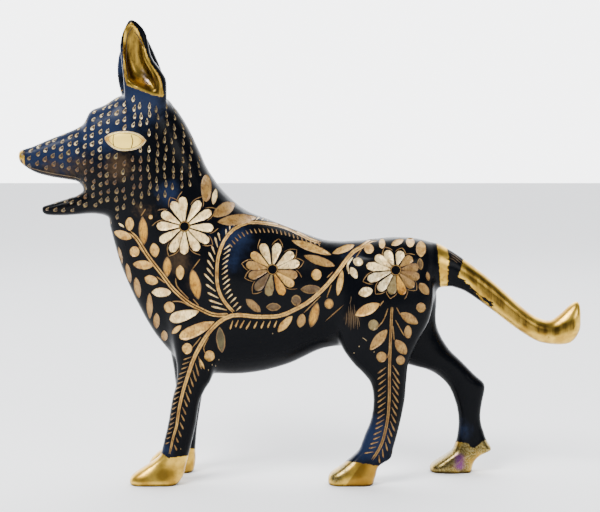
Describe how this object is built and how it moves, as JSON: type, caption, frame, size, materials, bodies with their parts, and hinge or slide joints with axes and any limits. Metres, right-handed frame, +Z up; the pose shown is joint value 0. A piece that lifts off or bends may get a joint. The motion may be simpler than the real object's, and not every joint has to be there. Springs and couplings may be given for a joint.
{
  "type": "brass dog figurine",
  "caption": "Standing shepherd-like dog figurine in cast brass, with black lacquer, engraved floral ornament, pricked ears, an open muzzle and a curled tail.",
  "frame": {"origin": "on the ground plane under the centre of the bounding box", "axes": "+X towards the tail, so the dog faces -X; +Y to its right side; +Z up"},
  "size_m": [0.2474, 0.0356, 0.2004],
  "materials": {
    "lacquered_brass": "black lacquer over cast brass, cut through to bright brass by the engraving; paws, tail, ear hollows and nose polished bare"
  },
  "bodies": {
    "root": {"brass_dog": "lacquered_brass"}
  },
  "joints": []
}
